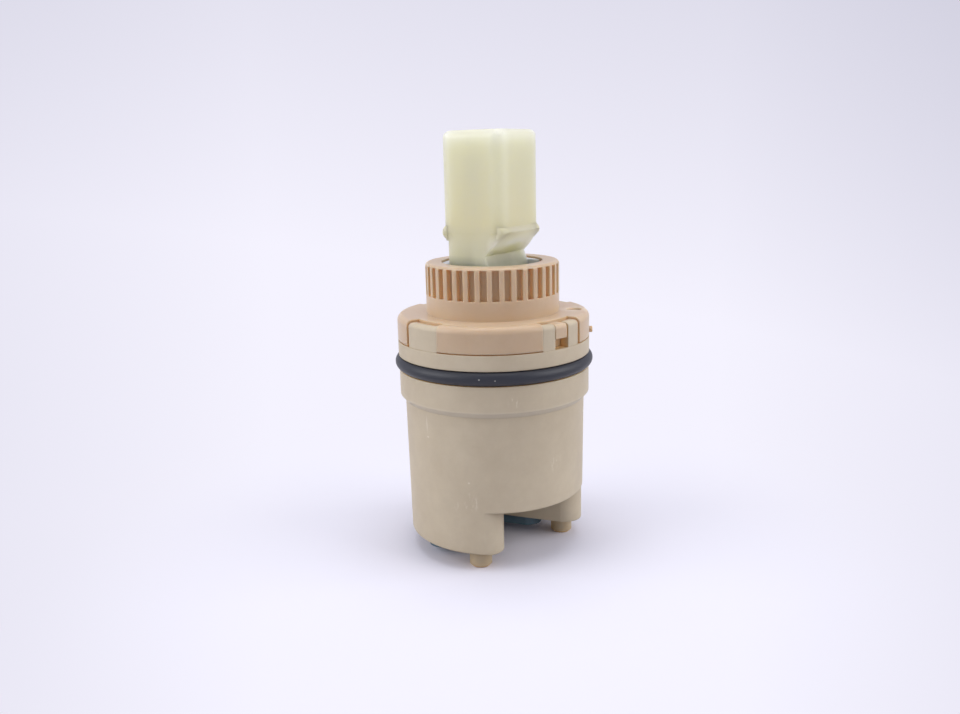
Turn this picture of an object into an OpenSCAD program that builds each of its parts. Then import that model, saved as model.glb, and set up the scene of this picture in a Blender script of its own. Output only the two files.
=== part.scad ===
// Single-lever mixer cartridge with ceramic discs, for a tap body with a 25 mm class seat.
// The axis is Z, the tips of the locating pins are at Z = 0, and the outlet faces -Y.
// Angles round the axis are counted from the outlet direction, towards +X.

/* [Locating pins] */
// Diameter of each locating pin
pin_d = 2.8; // [2:0.02:3]
// Length of each locating pin below the base
pin_len = 2.35; // [1.4:0.05:4]
// Distance of the axis of each locating pin from the edge of the base
pin_inset = 2.5; // [2:0.05:2.7]
// Angle of each locating pin from the outlet direction
pin_angle = 56.5; // [52:0.5:62]
// Chamfer on the tip of each locating pin
pin_chamfer = 0.3; // [0.1:0.05:0.5]

/* [Housing] */
// Radius of the rim above the ring groove
rim_r = 12.2; // [11.5:0.05:13]
// How far the land under the ring groove stays inside the rim
land_step = 0.05; // [0.02:0.01:0.2]
// How far the lower body stays inside the land
waist_step = 0.62; // [0.3:0.02:0.9]
// Taper of the lower body towards the base, on the radius
base_taper = 0.2; // [0.1:0.05:0.5]
// Height of the lower body
lower_h = 17.6; // [16.5:0.1:24]
// Height of the sloping step under the land
step_h = 0.7; // [0.4:0.1:2]
// Height of the land under the ring groove
land_h = 3.25; // [2:0.05:6]
// Height of the rim above the ring groove
rim_h = 1.9; // [1.5:0.1:3]
// Chamfer round the base
base_chamfer = 0.15; // [0.1:0.05:0.5]
// Wall between the ring groove and the bore that holds the discs
groove_wall = 1.08; // [0.8:0.02:1.2]
// Thickness of the floor under the discs
floor_t = 1.8; // [1.4:0.1:3]

/* [Outlet notch] */
// Height of the outlet notch above the base
notch_h = 5.55; // [4:0.05:6.5]
// Angle of each notch wall from the outlet direction
notch_angle = 27.5; // [26:0.5:30]
// Radius at the inner end of the notch
notch_end_r = 1.45; // [1.2:0.05:1.7]
// Radius on the outer corner of each leg beside the notch
leg_corner_r = 2.4; // [1:0.1:2.6]
// Radius of the outlet port through the floor
outlet_r = 2.3; // [1.8:0.05:2.4]
// Distance of the outlet port from the axis
outlet_reach = 3.2; // [3.2:0.05:3.5]

/* [Inlets] */
// Radius of each inlet port through the base
inlet_r = 1.6; // [1.2:0.05:1.65]
// Sideways distance of each inlet port from the axis
inlet_x = 3.4; // [3.36:0.02:3.5]
// Distance of each inlet port behind the axis
inlet_y = 3; // [2.94:0.02:3.06]
// Width of the band of each inlet seal
inlet_seal_band = 1.2; // [1:0.1:1.5]
// Corner radius of each inlet seal
inlet_seal_corner = 1.9; // [1.7:0.05:1.95]
// Wall between the outlet notch and each inlet seal
inlet_seal_wall = 0.4; // [0.3:0.05:0.8]
// Wall between each inlet seal and the rim of the base
inlet_seal_rim = 1.2; // [0.9:0.05:1.6]
// Half of the rib between the two inlet seals
inlet_seal_rib = 0.5; // [0.4:0.05:0.7]
// How far each inlet seal reaches out along the wall of the notch
inlet_seal_reach = 3.1; // [2.8:0.1:3.2]
// Angle of the side corner of each inlet seal from the outlet direction
inlet_seal_angle = 102; // [98:1:108]
// Depth of the pocket for each inlet seal
inlet_pocket_h = 1.5; // [1:0.1:2.2]
// How far each inlet seal stands below the base
inlet_seal_proud = 1.3; // [0.4:0.1:1.6]

/* [O-ring] */
// Thickness of the body O-ring
ring_d = 1.75; // [1.6:0.05:1.8]
// How far the body O-ring stands out from the rim
ring_proud = 0.45; // [0.3:0.05:0.6]
// Width of the groove for the body O-ring
groove_w = 1.85; // [1.8:0.05:2.4]

/* [Cap] */
// Height of the cap flange
flange_h = 3.24; // [3.2:0.02:4.5]
// Radius on the upper edge of the cap flange
flange_edge_r = 0.8; // [0.4:0.1:1.2]
// Height of the shadow gap under the edge of the flange
flange_gap = 0.14; // [0.08:0.02:0.3]
// Wall of the splined collar
collar_wall = 2.08; // [1.9:0.02:2.2]
// Height of the splined collar above the flange
collar_h = 6.36; // [6:0.02:7]
// Radius on the upper edge of the collar
collar_edge_r = 0.45; // [0.2:0.05:0.5]
// Width of the ledge of the cap over the rotor, from the bore of the housing to the mouth
cap_ledge = 3.45; // [3.35:0.01:3.5]
// Number of slots round the collar
spline_count = 36; // [24:2:40]
// Width of each slot
spline_w = 0.86; // [0.5:0.02:0.9]
// Depth of each slot
spline_depth = 0.75; // [0.4:0.05:0.9]
// Height of the plain band below the slots
spline_foot = 2.38; // [1:0.02:3]
// Height of the closed rim above the slots
spline_rim = 0.3; // [0.28:0.01:1]
// Diameter of the ejector mark in the flange
mark_d = 2; // [1.6:0.1:2.2]
// Depth of the ejector mark in the flange
mark_depth = 0.25; // [0.1:0.05:0.5]
// Angle of the ejector mark and of the nub beside it
mark_angle = 44; // [35:1:55]
// Diameter of the nub on the side of the flange
nub_d = 0.8; // [0.5:0.1:1.2]
// Height of the middle of the nub above the rim
nub_up = 0.65; // [0.65:0.05:1.2]
// How far the nub stands out from the flange
nub_proud = 0.4; // [0.2:0.05:0.5]
// Width of the slits that free the ends of the front segment
slit_w = 0.2; // [0.1:0.02:0.3]
// Angle over which each slit runs
slit_angle = 18; // [10:1:24]
// Depth of the spigot that centres the cap in the housing
spigot_h = 1.4; // [1:0.1:2]
// Wall of the spigot
spigot_wall = 0.6; // [0.4:0.05:0.65]
// Half angle of the stop lug under the cap
stop_lug_angle = 8; // [5:0.5:10]
// Depth of the stop lug under the cap
stop_lug_h = 2.3; // [1.5:0.1:2.6]

/* [Snap tabs] */
// Half angle of the front and back tabs of the housing
tab_angle = 14.2; // [12:0.1:15]
// Half angle of the side tabs of the housing
side_tab_angle = 12; // [10:0.1:14]
// Angle of the middle of each side tab
side_tab_at = 88; // [86:0.5:92]
// Thickness of the tabs
tab_t = 1.14; // [1:0.02:1.3]
// How far the snap tabs stand back from the rim below them
tab_step = 0.06; // [0.02:0.01:0.12]
// How far the barb of each tab reaches inwards
barb_reach = 0.5; // [0.3:0.05:0.7]
// Height of the barb of each tab
barb_h = 1.1; // [0.8:0.05:1.4]
// Radius on the outer top edge of the tabs
tab_edge = 0.5; // [0.2:0.05:0.5]
// How far the tabs end below the top of the flange
tab_drop = 0.25; // [0.05:0.05:0.4]
// Angle of the wide gap beside a tab
tab_gap_wide = 2.2; // [1.5:0.1:3]
// Angle of the hairline gap beside a tab
tab_gap_close = 0.1; // [0.1:0.1:0.6]
// Angle from the front of the hook plate's left side
hook_from = -5.8; // [-7:0.1:-4]
// Angle from the front of the hook plate's right side
hook_to = 2.7; // [1:0.1:3.4]
// Angle of the slit at the right of the hook plate
hook_slit = 1.8; // [1:0.1:2.5]
// Height of the window below the hook plate
hook_window_h = 1.3; // [0.8:0.1:2]

/* [Rotor] */
// Width of the slot that holds the lever
rotor_slot_w = 9.32; // [9.2:0.02:9.4]
// Height above the pivot where the back wall of the slot starts
heel_up = 0.3; // [0.2:0.05:0.6]
// How far the rotor ends below the top of the collar
rotor_drop = 0.25; // [0.1:0.05:1]
// Thickness of the shoulder of the rotor
shoulder_t = 2.9; // [2.7:0.1:3]
// Length of the window through the shoulder
shoulder_window = 10.8; // [10:0.1:11.4]
// Thickness of the glide ring
glide_t = 0.6; // [0.4:0.05:0.8]
// Width of the glide ring
glide_w = 0.8; // [0.6:0.05:0.85]
// Diameter of the lever pin
lever_pin_d = 2.5; // [2:0.05:3]
// Height of the lever pin above the top of the flange
pivot_rise = 0.86; // [0.6:0.02:1.2]

/* [Lever] */
// Width of the square stem
stem_w = 9; // [8.8:0.05:9.3]
// Corner radius of the square stem
stem_corner_r = 1.5; // [1:0.1:2]
// Radius on the upper edges of the stem
stem_edge_r = 1; // [0.3:0.1:1.2]
// Height of the stem above the collar
stem_h = 15.9; // [14:0.1:22]
// Clearance of the neck of the lever in the slot of the rotor, on each side
neck_gap = 0.17; // [0.15:0.005:0.25]
// How far the neck stays inside the stem at the front and the back
neck_inset = 0.4; // [0.35:0.05:0.6]
// Height above the collar of the beads at the front and the back
bead_up = 2.7; // [2.6:0.1:4.5]
// Height of the beads
bead_h = 2; // [1.6:0.1:2.4]
// How far the beads stand out from the stem
bead_proud = 0.4; // [0.2:0.05:0.5]
// Distance of the bottom of the V notch from the axis
vee_depth = 2; // [1.6:0.05:2.4]
// Height of the bottom of the V notch above the collar
vee_up = 1; // [0.9:0.1:2.2]
// Slope of the upper face of the V notch
vee_upper_angle = 45; // [42:1:48]
// Lean of the lower face of the V notch
vee_lower_angle = 20; // [16:1:22]
// Turn of the lever from the outlet direction
lever_turn = 13.5; // [-20:0.5:20]
// Radius of the hub round the lever pin
hub_r = 4.05; // [3:0.05:4.1]
// Radius of the arm below the hub
arm_r = 1.6; // [1.3:0.05:1.8]
// Radius of the ball at the end of the arm
ball_r = 2.4; // [2.2:0.05:2.6]

/* [Discs] */
// Thickness of the fixed disc
fixed_disc_t = 3.2; // [2.6:0.1:3.4]
// Thickness of the moving disc
moving_disc_t = 3.2; // [2.6:0.1:3.4]
// Room round the moving disc for its travel in the bore
disc_room = 2.6; // [2.4:0.05:2.8]
// Inner radius of the inlet slots in the fixed disc
slot_inner_r = 2.7; // [2.6:0.05:2.9]
// Outer radius of the inlet slots in the fixed disc
slot_outer_r = 4.6; // [4.2:0.05:4.7]
// First angle of the inlet slots from the outlet direction
slot_from = 118; // [116:1:122]
// Last angle of the inlet slots from the outlet direction
slot_to = 148; // [142:1:149]
// Radius of the rounded mixing opening in the moving disc
mixing_r = 2.3; // [2:0.05:2.4]
// Length between the round ends of the mixing opening
mixing_len = 2.3; // [1.8:0.05:2.5]
// Band of each disc seal
disc_seal_band = 0.75; // [0.6:0.05:0.8]
// Half of the gap between the two disc seals at the inlets
disc_seal_rib = 0.5; // [0.3:0.05:0.6]
// Height of each disc seal
disc_seal_h = 1.2; // [0.9:0.05:1.5]
// Gap between the fixed disc and the floor
disc_float = 0.15; // [0.05:0.05:0.3]
// Width of the keys that hold the fixed disc
key_w = 2; // [1.6:0.1:2.6]
// Depth of the keys that hold the fixed disc
key_depth = 0.9; // [0.6:0.05:1.2]
// Shift of the discs from the axis when the tap is shut
shut_shift = 1.75; // [1.6:0.05:2]

/* [Disc driver] */
// Thickness of the plate of the disc driver
driver_plate_t = 2; // [1.8:0.1:2.4]
// Width of the guided block of the disc driver
driver_block_w = 9.7; // [9.4:0.05:9.8]
// Length of the guided block of the disc driver
driver_block_l = 8; // [7.6:0.1:8.4]
// Height of the guided block of the disc driver
driver_block_h = 5.4; // [4.8:0.1:5.6]
// Thickness of the socket floor above the plate
socket_floor_t = 0.85; // [0.5:0.05:1.1]
// Width of the dogs that carry the moving disc
dog_w = 2.4; // [1.6:0.1:3]
// Radial thickness of the dogs that carry the moving disc
dog_t = 0.9; // [0.6:0.05:1.1]
// Depth of the dogs that carry the moving disc
dog_h = 1.6; // [1:0.1:2.2]
// Thickness of the mixing seal
mixing_seal_h = 0.9; // [0.6:0.05:1.1]

/* [Clearances] */
// Radial running clearance of turning fits
run_gap = 0.08; // [0.04:0.01:0.1]
// Clearance of flat sliding guides
slide_gap = 0.1; // [0.05:0.01:0.15]
// Clearance of pieces that are pressed or laid into a seat
seat_gap = 0.02; // [0.01:0.01:0.05]
// Loose clearance round discs and keys
loose_gap = 0.2; // [0.1:0.05:0.25]

/* [Turning range] */
// Largest turn of the rotor to each side
turn_limit = 50; // [40:1:52]
// Clearance of the stop lug at the end of the turn
stop_gap_angle = 1; // [0.5:0.5:2]

/* [Hidden] */
$fn = 72;

// Small overlap that joins shapes and clears cuts
eps = 0.05;
// How far a round corner stands proud of the sides that it joins
blend = 0.01;
// Reach of cuts that pass right out of the part
far = 3 * rim_r;

// Heights of the housing
base_z = pin_len;
notch_z = base_z + notch_h;
floor_z = notch_z + floor_t;
step_z = base_z + lower_h;
land_z = step_z + step_h;
groove_z = land_z + land_h;
groove_top_z = groove_z + groove_w;
rim_z = groove_top_z + rim_h;

// Heights of the cap and the lever
flange_z = rim_z + flange_h;
collar_z = flange_z + collar_h;
tab_z = flange_z - tab_drop;
barb_z = tab_z - barb_h;
pivot_z = flange_z + pivot_rise;
stem_z = collar_z + stem_h;
bead_z = collar_z + bead_up;
bead_top_z = bead_z + bead_h;
bead_mid_z = bead_z + bead_h / 2;
bead_edge_r = bead_h / 2 - blend;
bead_corner_r = stem_corner_r + 2 * bead_proud;
vee_z = collar_z + vee_up;

// Heights of the disc stack
fixed_disc_z = floor_z + disc_float;
moving_disc_z = fixed_disc_z + fixed_disc_t;
driver_z = moving_disc_z + moving_disc_t;
driver_plate_z = driver_z + driver_plate_t;
rail_z = driver_plate_z + slide_gap / 2;
ball_z = driver_plate_z + socket_floor_t + slide_gap + ball_r;
shoulder_top_z = rim_z - glide_t;
shoulder_z = shoulder_top_z - shoulder_t;

// Radii that follow from the rim, the walls and the fits
land_r = rim_r - land_step;
waist_r = land_r - waist_step;
base_r = waist_r - base_taper;
pin_reach = base_r - pin_inset;
leg_face_r = base_r + base_taper * notch_h / lower_h;
tab_r = rim_r - tab_step;
tab_inner_r = tab_r - tab_t;
flange_r = rim_r;
ring_outer_r = rim_r + ring_proud;
ring_mid_r = ring_outer_r - ring_d / 2;
groove_r = ring_outer_r - ring_d - seat_gap;
bore_r = groove_r - groove_wall;
mouth_r = bore_r - cap_ledge;
collar_r = mouth_r + collar_wall;
moving_disc_r = bore_r - disc_room;
spigot_r = bore_r - slide_gap;
spigot_inner_r = spigot_r - spigot_wall;
rotor_r = mouth_r - run_gap;
shoulder_r = spigot_inner_r - loose_gap;
glide_inner_r = mouth_r + slide_gap / 2;
glide_outer_r = glide_inner_r + glide_w;
stop_inner_r = glide_outer_r + loose_gap;
fixed_disc_r = bore_r - loose_gap;
driver_plate_r = moving_disc_r;
socket_r = ball_r + slide_gap;
lever_bore_r = lever_pin_d / 2 + run_gap;
neck_size = [rotor_slot_w - 2 * neck_gap, stem_w - 2 * neck_inset];
stem_size = [stem_w, stem_w];
bead_size = [stem_w - 2 * blend, stem_w + 2 * bead_proud];
inlet_disc_seal_r = inlet_x - disc_seal_rib;
outlet_disc_seal_r = outlet_r + loose_gap + disc_seal_band;
mixing_seal_r = mixing_r + loose_gap + disc_seal_band;
inlet_seal_inner = inlet_seal_corner - inlet_seal_band;

// Directions of the right-hand notch wall, along it and behind it
wall_along = [sin(notch_angle), -cos(notch_angle)];
wall_behind = [cos(notch_angle), sin(notch_angle)];

// Centres of the corners of the inlet seal at the right, counter-clockwise
seal_behind = notch_end_r + inlet_seal_wall + inlet_seal_corner;
seal_near_x = inlet_seal_corner + inlet_seal_rib;
seal_near = seal_behind * wall_behind
    + (seal_near_x - seal_behind * wall_behind[0]) / wall_along[0] * wall_along;
seal_centre_reach = base_r - base_chamfer - inlet_seal_rim - inlet_seal_corner;
seal_corners = [
    seal_behind * wall_behind + inlet_seal_reach * wall_along,
    polar(seal_centre_reach, inlet_seal_angle),
    polar(seal_centre_reach, 180 - asin(seal_near_x / seal_centre_reach)),
    seal_near
];

// First and last angle of each gap between the tabs, the gap for the hook plate included
tab_gap_angles = [
    [-side_tab_at + side_tab_angle, -tab_angle],
    [hook_from - tab_gap_close, hook_to + hook_slit],
    [tab_angle, side_tab_at - side_tab_angle],
    [side_tab_at + side_tab_angle, 180 - tab_angle],
    [180 + tab_angle, 360 - side_tab_at - side_tab_angle]
];

// A point at a distance from the axis and an angle from the outlet direction
function polar(r, angle) = [r * sin(angle), -r * cos(angle)];

// Flat wedge between two angles
module wedge(from, to, reach = far) {
    steps = ceil((to - from) / 30);
    polygon(concat([[0, 0]], [for (i = [0:steps]) polar(reach, from + (to - from) * i / steps)]));
}

// Part of a ring between two angles and two heights
module ring_part(inner, outer, from, to, low, high) {
    translate([0, 0, low])
        linear_extrude(high - low)
            intersection() {
                difference() {
                    circle(outer);
                    circle(inner);
                }
                wedge(from, to);
            }
}

// Whole ring between two heights
module ring(inner, outer, low, high) {
    translate([0, 0, low])
        difference() {
            cylinder(r = outer, h = high - low);
            translate([0, 0, -eps])
                cylinder(r = inner, h = high - low + 2 * eps);
        }
}

// Flat outline with round corners about the given centres, listed counter-clockwise
module round_outline(centres, r) {
    polygon(centres);
    for (i = [0:len(centres) - 1]) {
        a = centres[i];
        b = centres[(i + 1) % len(centres)];
        side = (b - a) / norm(b - a) * (r - blend);
        out = [side[1], -side[0]];
        translate(a)
            circle(r);
        polygon([a, a + out, b + out, b]);
    }
}

// Flat rectangle with round corners
module round_rectangle(size, r) {
    square([size[0] - 2 * r, size[1]], center = true);
    square([size[0], size[1] - 2 * r], center = true);
    for (x = [-1, 1], y = [-1, 1])
        translate([x * (size[0] / 2 - r), y * (size[1] / 2 - r)])
            circle(r);
}

// Side view of a block with round edges at the top, and at the bottom where low_edge is more than 0
module block_profile(w, low, high, low_edge, high_edge) {
    translate([-w / 2, low + low_edge])
        square([w, high - low - low_edge - high_edge]);
    translate([-w / 2 + high_edge, low + low_edge])
        square([w - 2 * high_edge, high - low - low_edge]);
    for (side = [-1, 1])
        translate([side * (w / 2 - high_edge), high - high_edge])
            circle(high_edge);
    if (low_edge > 0) {
        translate([-w / 2 + low_edge, low])
            square([w - 2 * low_edge, high - low - high_edge]);
        for (side = [-1, 1])
            translate([side * (w / 2 - low_edge), low + low_edge])
                circle(low_edge);
    }
}

// Upright block with round corners and round edges
module soft_block(size, low, high, corner, low_edge, high_edge) {
    across = (size[0] + size[1]) * cos(45) - 2 * corner * (sqrt(2) - 1) + 2 * blend;
    intersection() {
        translate([0, 0, low])
            linear_extrude(high - low)
                round_rectangle(size, corner);
        rotate([90, 0, 0])
            linear_extrude(2 * size[1], center = true)
                block_profile(size[0], low, high, low_edge, high_edge);
        rotate([90, 0, 90])
            linear_extrude(2 * size[0], center = true)
                block_profile(size[1], low, high, low_edge, high_edge);
        intersection_for (turn = [45, -45])
            rotate([90, 0, turn])
                linear_extrude(2 * across, center = true)
                    block_profile(across, low, high, low_edge, high_edge);
    }
}

// Places the rotor, the lever and the disc carriage at the turn of the lever
module turned() {
    rotate([0, 0, lever_turn])
        children();
}

// Places the disc carriage at its shut position
module carried() {
    turned()
        translate([0, -shut_shift, 0])
            children();
}

// Outline of the outlet notch, from its round inner end out through the wall
module notch_outline() {
    reach = far * wall_along;
    round_outline([[0, 0], [-reach[0], reach[1]], reach], notch_end_r);
}

// Sliver that rounds the outer corner of the right-hand leg
module leg_corner_outline() {
    start = (notch_end_r + leg_corner_r - 2 * blend) * wall_behind;
    along = sqrt(pow(leg_face_r + 3 * blend - leg_corner_r, 2) - pow(norm(start), 2));
    centre = start + along * wall_along;
    inside = centre - (leg_corner_r + eps) * wall_behind;
    difference() {
        polygon([
            centre,
            inside,
            inside + 2 * leg_corner_r * wall_along,
            centre * (base_r + leg_corner_r) / norm(centre)
        ]);
        translate(centre)
            circle(leg_corner_r);
    }
}

// Outline of an inlet seal, side -1 for hot and 1 for cold, with a given corner radius
module inlet_outline(side, corner) {
    mirror([side < 0 ? 1 : 0, 0])
        round_outline(seal_corners, corner);
}

// Outer shape of the housing, without its tabs
module housing_blank() {
    rotate_extrude() {
        translate([tab_r - tab_edge, tab_z - tab_edge])
            circle(tab_edge);
        polygon([
            [0, base_z],
            [base_r - base_chamfer, base_z],
            [base_r, base_z + base_chamfer],
            [waist_r, step_z],
            [land_r, land_z],
            [land_r, groove_z],
            [groove_r, groove_z],
            [groove_r, groove_top_z],
            [rim_r, groove_top_z],
            [rim_r, rim_z],
            [tab_r, rim_z],
            [tab_r, tab_z - tab_edge],
            [tab_r - tab_edge, tab_z],
            [tab_inner_r, tab_z],
            [tab_inner_r - barb_reach, tab_z - barb_reach],
            [tab_inner_r - barb_reach, barb_z],
            [tab_inner_r, barb_z],
            [tab_inner_r, rim_z],
            [0, rim_z]
        ]);
    }
}

// Gaps that leave the snap tabs and their barbs standing on the rim
module tab_gaps() {
    for (gap = tab_gap_angles)
        ring_part(tab_inner_r - barb_reach - slide_gap, far / 2, gap[0], gap[1], rim_z, flange_z);
}

// Locating pin under the base
module locating_pin() {
    cylinder(d1 = pin_d - 2 * pin_chamfer, d2 = pin_d, h = pin_chamfer);
    translate([0, 0, pin_chamfer])
        cylinder(d = pin_d, h = pin_len - pin_chamfer + eps);
}

module housing() color([0.74, 0.68, 0.58]) {
    difference() {
        housing_blank();
        // Bore for the discs, with its two keys
        difference() {
            translate([0, 0, floor_z])
                cylinder(r = bore_r, h = rim_z);
            for (side = [-1, 1])
                translate([side * (bore_r - key_depth / 2 + eps), 0, fixed_disc_z])
                    cube([key_depth + 2 * eps, key_w, 2 * fixed_disc_t - loose_gap], center = true);
        }
        // Outlet notch with its port and round legs
        translate([0, 0, base_z - eps])
            linear_extrude(notch_h + eps)
                notch_outline();
        translate([0, -outlet_reach, notch_z - eps])
            cylinder(r = outlet_r, h = floor_t + 2 * eps);
        for (side = [0, 1])
            mirror([side, 0, 0])
                translate([0, 0, base_z - eps])
                    linear_extrude(notch_h + eps)
                        leg_corner_outline();
        // Inlet ports and the pockets for the seals at both ends of them
        for (side = [-1, 1]) {
            translate([side * inlet_x, inlet_y, base_z - eps])
                cylinder(r = inlet_r, h = floor_z - base_z + 2 * eps);
            translate([0, 0, base_z - eps])
                linear_extrude(inlet_pocket_h + eps)
                    inlet_outline(side, inlet_seal_corner + seat_gap);
            disc_seal_pocket([side * inlet_x, inlet_y], inlet_disc_seal_r);
        }
        disc_seal_pocket([0, -outlet_reach], outlet_disc_seal_r);
        tab_gaps();
    }
    for (side = [-1, 1])
        translate(polar(pin_reach, side * pin_angle))
            locating_pin();
}

// Pocket in the floor for one disc seal
module disc_seal_pocket(at, outer) {
    translate([at[0], at[1], fixed_disc_z - disc_seal_h])
        cylinder(r = outer + seat_gap, h = disc_seal_h + eps);
}

// Opening in the cap flange for one tab, with room for its barb
module tab_opening(from, to) {
    ring_part(tab_inner_r - slide_gap / 2, far / 2, from, to, rim_z - eps, flange_z + eps);
    ring_part(tab_inner_r - barb_reach - slide_gap / 2, tab_inner_r, from, to,
        barb_z, flange_z + eps);
}

// Outer shape of the cap, with its flange, collar and spigot
module cap_blank() {
    rotate_extrude() {
        translate([0, rim_z])
            square([flange_r - flange_edge_r, flange_h]);
        translate([0, rim_z])
            square([flange_r, flange_h - flange_edge_r]);
        translate([flange_r - flange_edge_r, flange_z - flange_edge_r])
            circle(flange_edge_r);
        translate([0, rim_z])
            square([collar_r - collar_edge_r, flange_h + collar_h]);
        translate([0, rim_z])
            square([collar_r, flange_h + collar_h - collar_edge_r]);
        translate([collar_r - collar_edge_r, collar_z - collar_edge_r])
            circle(collar_edge_r);
        translate([spigot_inner_r, rim_z - spigot_h])
            square([spigot_wall, spigot_h + eps]);
    }
}

// Slit from the top of the flange, outside a radius and between two angles
module flange_slit(inner, from, to) {
    ring_part(inner, inner + slit_w, from, to, flange_z - flange_edge_r, flange_z + eps);
}

module cap() color([0.85, 0.72, 0.6]) {
    difference() {
        cap_blank();
        translate([0, 0, rim_z - eps])
            cylinder(r = mouth_r, h = far);
        // Slots round the collar
        for (i = [0:spline_count - 1])
            rotate([0, 0, i * 360 / spline_count])
                translate([collar_r - spline_depth, -spline_w / 2, flange_z + spline_foot])
                    cube([2 * spline_depth, spline_w, collar_h - spline_foot - spline_rim]);
        // Shadow gap under the edge of the flange
        ring(tab_inner_r + (rim_r - tab_inner_r) / 2, far / 2, rim_z - eps, rim_z + flange_gap);
        // Openings for the tabs
        tab_opening(-tab_angle - tab_gap_close, tab_angle + tab_gap_wide);
        tab_opening(180 - tab_angle - tab_gap_wide, 180 + tab_angle + tab_gap_wide);
        tab_opening(side_tab_at - side_tab_angle - tab_gap_wide,
            side_tab_at + side_tab_angle + tab_gap_wide);
        tab_opening(-side_tab_at - side_tab_angle - tab_gap_wide,
            -side_tab_at + side_tab_angle + tab_gap_close);
        // Slits that free the ends of the front segment
        for (from = [-side_tab_at + side_tab_angle, -tab_angle - slit_angle])
            flange_slit(tab_inner_r, from, from + slit_angle);
        // Ejector mark
        translate(concat(polar((collar_r + flange_r) / 2, mark_angle), flange_z - mark_depth))
            cylinder(d = mark_d, h = 2 * mark_depth);
    }
    // Hook plate between the posts of the front tab
    difference() {
        intersection() {
            cap_blank();
            ring_part(tab_inner_r - barb_reach - slide_gap, far / 2, hook_from, hook_to,
                rim_z + hook_window_h, tab_z);
        }
        flange_slit(tab_inner_r - barb_reach, hook_from - hook_slit, hook_to + hook_slit);
    }
    // Stop lug that limits the turn of the rotor
    ring_part(stop_inner_r, spigot_r - spigot_wall / 2, 180 - stop_lug_angle, 180 + stop_lug_angle,
        rim_z - stop_lug_h, rim_z + eps);
    // Nub on the side of the flange
    translate(concat(polar(flange_r - nub_d, mark_angle), rim_z + nub_up))
        rotate([90, 0, mark_angle])
            cylinder(d = nub_d, h = nub_d + nub_proud);
}

module body_o_ring() color([0.2, 0.21, 0.24])
    rotate_extrude()
        translate([ring_mid_r, groove_z + groove_w / 2])
            circle(d = ring_d);

// Moulded seal round one inlet, side -1 for hot and 1 for cold
module inlet_seal(side) color([0.2, 0.42, 0.62])
    translate([0, 0, base_z - inlet_seal_proud])
        linear_extrude(inlet_pocket_h + inlet_seal_proud)
            difference() {
                inlet_outline(side, inlet_seal_corner);
                inlet_outline(side, inlet_seal_inner);
            }

module hot_inlet_seal() inlet_seal(-1);

module cold_inlet_seal() inlet_seal(1);

// Round seal between the floor and the fixed disc
module disc_seal(at, outer) color([0.2, 0.42, 0.62])
    translate(at)
        ring(outer - disc_seal_band, outer, fixed_disc_z - disc_seal_h, fixed_disc_z);

module hot_disc_seal() disc_seal([-inlet_x, inlet_y], inlet_disc_seal_r);

module cold_disc_seal() disc_seal([inlet_x, inlet_y], inlet_disc_seal_r);

module outlet_disc_seal() disc_seal([0, -outlet_reach], outlet_disc_seal_r);

module fixed_disc() color([0.95, 0.94, 0.9])
    difference() {
        translate([0, 0, fixed_disc_z])
            cylinder(r = fixed_disc_r, h = fixed_disc_t);
        translate([0, -outlet_reach, fixed_disc_z - eps])
            cylinder(r = outlet_r, h = fixed_disc_t + 2 * eps);
        for (side = [0, 1])
            mirror([side, 0, 0])
                ring_part(slot_inner_r, slot_outer_r, slot_from, slot_to,
                    fixed_disc_z - eps, moving_disc_z + eps);
        for (side = [-1, 1])
            translate([side * bore_r, 0, fixed_disc_z + fixed_disc_t / 2])
                cube([2 * (key_depth + loose_gap), key_w + 2 * loose_gap, 2 * fixed_disc_t], center = true);
    }

module glide_ring() color([0.96, 0.96, 0.94])
    ring(glide_inner_r, glide_outer_r, shoulder_top_z, rim_z);

module rotor() color([0.9, 0.91, 0.92]) turned()
    difference() {
        union() {
            cylinder_between(rotor_r, shoulder_top_z - eps, collar_z - rotor_drop);
            cylinder_between(shoulder_r, rail_z, shoulder_top_z);
        }
        // Room for the guided block of the disc driver, below the shoulder
        translate([-driver_block_w / 2 - slide_gap, -far / 2, rail_z - eps])
            cube([driver_block_w + 2 * slide_gap, far, shoulder_z - rail_z + eps]);
        // Window through the shoulder, and slot between the cheeks with a wall behind the lever
        translate([-rotor_slot_w / 2, -shoulder_window / 2, shoulder_z - eps])
            cube([rotor_slot_w, shoulder_window, pivot_z + heel_up - shoulder_z + eps]);
        translate([-rotor_slot_w / 2, -far / 2, shoulder_top_z])
            cube([rotor_slot_w, far / 2 + neck_size[1] / 2 + neck_gap, far]);
        // Cut-out that runs against the stop lug
        ring_part(stop_inner_r - loose_gap / 2, far / 2,
            180 - turn_limit - stop_lug_angle - stop_gap_angle,
            180 + turn_limit + stop_lug_angle + stop_gap_angle,
            rim_z - stop_lug_h - loose_gap, rim_z);
        translate([0, 0, pivot_z])
            rotate([0, 90, 0])
                cylinder(d = lever_pin_d + 2 * seat_gap, h = far, center = true);
    }

// Plain cylinder between two heights
module cylinder_between(r, low, high) {
    translate([0, 0, low])
        cylinder(r = r, h = high - low);
}

module lever_pin() color([0.75, 0.76, 0.78]) turned()
    translate([0, 0, pivot_z])
        rotate([0, 90, 0])
            cylinder(d = lever_pin_d, h = 2 * (rotor_r - lever_pin_d / 8), center = true);

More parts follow.
